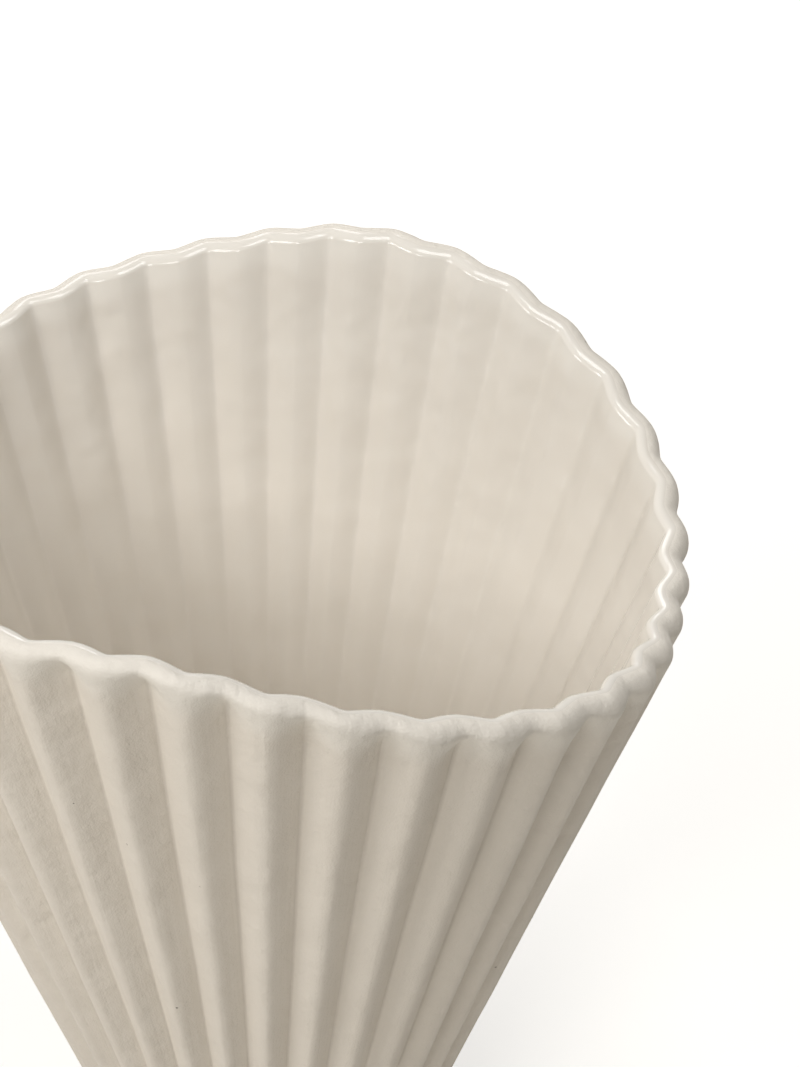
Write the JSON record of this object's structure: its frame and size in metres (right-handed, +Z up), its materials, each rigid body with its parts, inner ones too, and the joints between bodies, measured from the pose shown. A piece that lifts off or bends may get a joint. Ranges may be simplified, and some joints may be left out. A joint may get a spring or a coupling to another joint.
{
  "type": "fan vase",
  "caption": "Upright stoneware vase with a pleated cone wall that opens like a fan to a wide, arched, scalloped rim; glazed inside, bare outside, on a small foot ring.",
  "frame": {"origin": "centre of the foot ring, on the surface the vase stands on", "axes": "+Z up along the vase's axis, towards the mouth; the foot's long axis is along X; the rim is highest over the Y axis and falls towards both ends of X, lowest at +X"},
  "size_m": [0.1853, 0.1859, 0.2051],
  "materials": {
    "bare_stoneware": "unglazed warm off-white stoneware, dry and matte, with pinholes and dark specks",
    "ground_stoneware": "unglazed stoneware, ground flat underneath",
    "joining_slip": "fired slip, matte",
    "inside_glaze": "thin cream glaze, soft gloss"
  },
  "bodies": {
    "root": {"fluted_wall": "bare_stoneware", "floor_slab": "bare_stoneware", "foot_ring": "ground_stoneware", "floor_slip": "joining_slip", "foot_slip": "joining_slip", "inside_glaze": "inside_glaze"}
  },
  "joints": []
}
